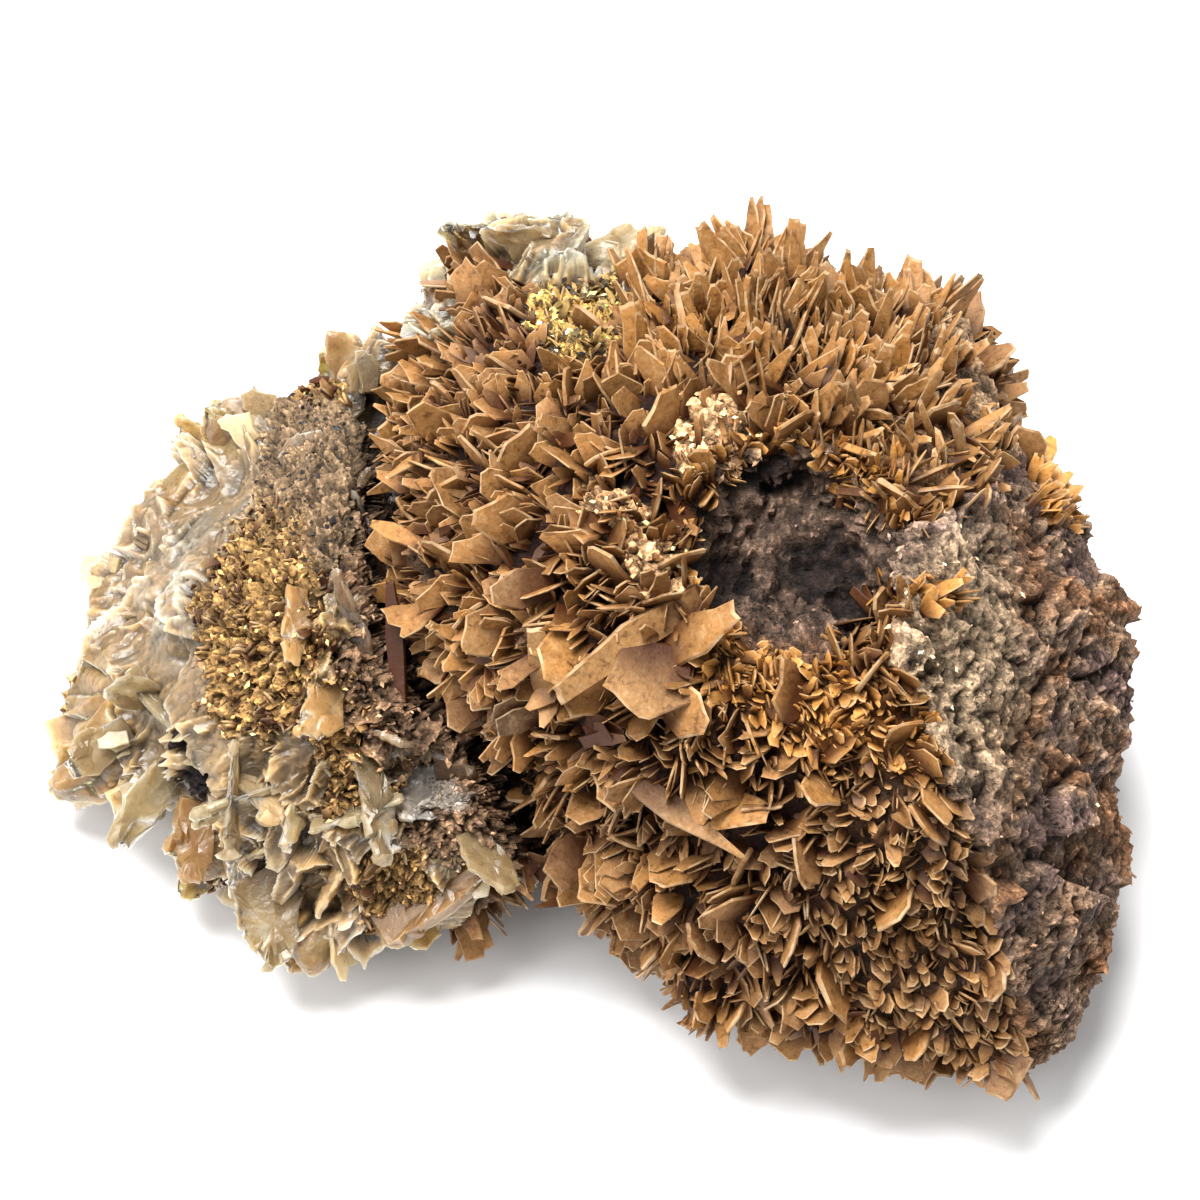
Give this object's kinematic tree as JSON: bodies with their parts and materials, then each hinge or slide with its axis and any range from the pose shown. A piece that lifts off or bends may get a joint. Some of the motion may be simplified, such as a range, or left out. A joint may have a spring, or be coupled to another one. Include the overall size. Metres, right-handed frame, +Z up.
{
  "type": "barite specimen",
  "caption": "Hand specimen of bladed barite: a tall lobe crusted with tan blades, with a pit and a bare rock face, grown against a lower pale lobe; it rests on a flat spot.",
  "frame": {"origin": "middle of the flat spot underneath that the specimen rests on", "axes": "+Z up, +X along the specimen's length from the pale lobe to the tall lobe's rock face, +Y to the back, away from the viewer"},
  "size_m": [0.1851, 0.1612, 0.0936],
  "materials": {
    "bladed_barite": "faintly waxy tan crystals on rough grey-brown rock, pale and translucent at one end"
  },
  "bodies": {
    "root": {"barite_cluster": "bladed_barite"}
  },
  "joints": []
}
